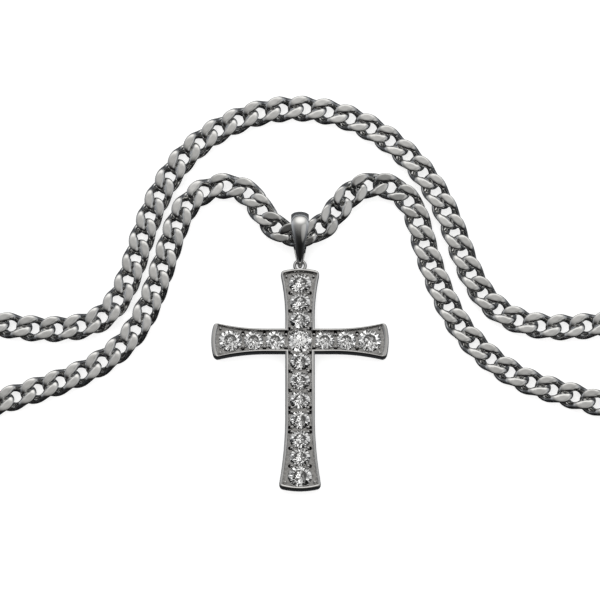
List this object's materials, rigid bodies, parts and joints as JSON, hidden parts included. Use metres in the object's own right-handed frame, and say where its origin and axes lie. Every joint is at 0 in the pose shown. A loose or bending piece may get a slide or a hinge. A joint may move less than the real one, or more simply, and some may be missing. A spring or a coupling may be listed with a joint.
{
  "type": "cross pendant with curb chain",
  "caption": "Flared cross pendant with round stones set in a channel, on a polished tapered bail and a heavy flat-cut curb chain that lies doubled on a surface.",
  "frame": {"origin": "middle of the crossing on the flat back of the cross, in the plane that the piece lies on", "axes": "+X towards the right arm, +Y up the upright towards the bail, +Z from the back of the cross towards its stones"},
  "size_m": [0.1738, 0.0655, 0.0054],
  "materials": {
    "white_metal": "mirror polished white metal",
    "stone": "brilliant cut, clear"
  },
  "bodies": {
    "root": {"cross_frame": "white_metal", "bail": "white_metal", "chain_outer": "white_metal", "chain_inner": "white_metal", "clasp": "white_metal", "stone_centre": "stone", "stone_right_1": "stone", "stone_right_2": "stone", "stone_right_3": "stone", "stone_top_1": "stone", "stone_top_2": "stone", "stone_top_3": "stone", "stone_left_1": "stone", "stone_left_2": "stone", "stone_left_3": "stone", "stone_bottom_1": "stone", "stone_bottom_2": "stone", "stone_bottom_3": "stone", "stone_bottom_4": "stone", "stone_bottom_5": "stone", "stone_bottom_6": "stone", "stone_bottom_7": "stone"}
  },
  "joints": []
}
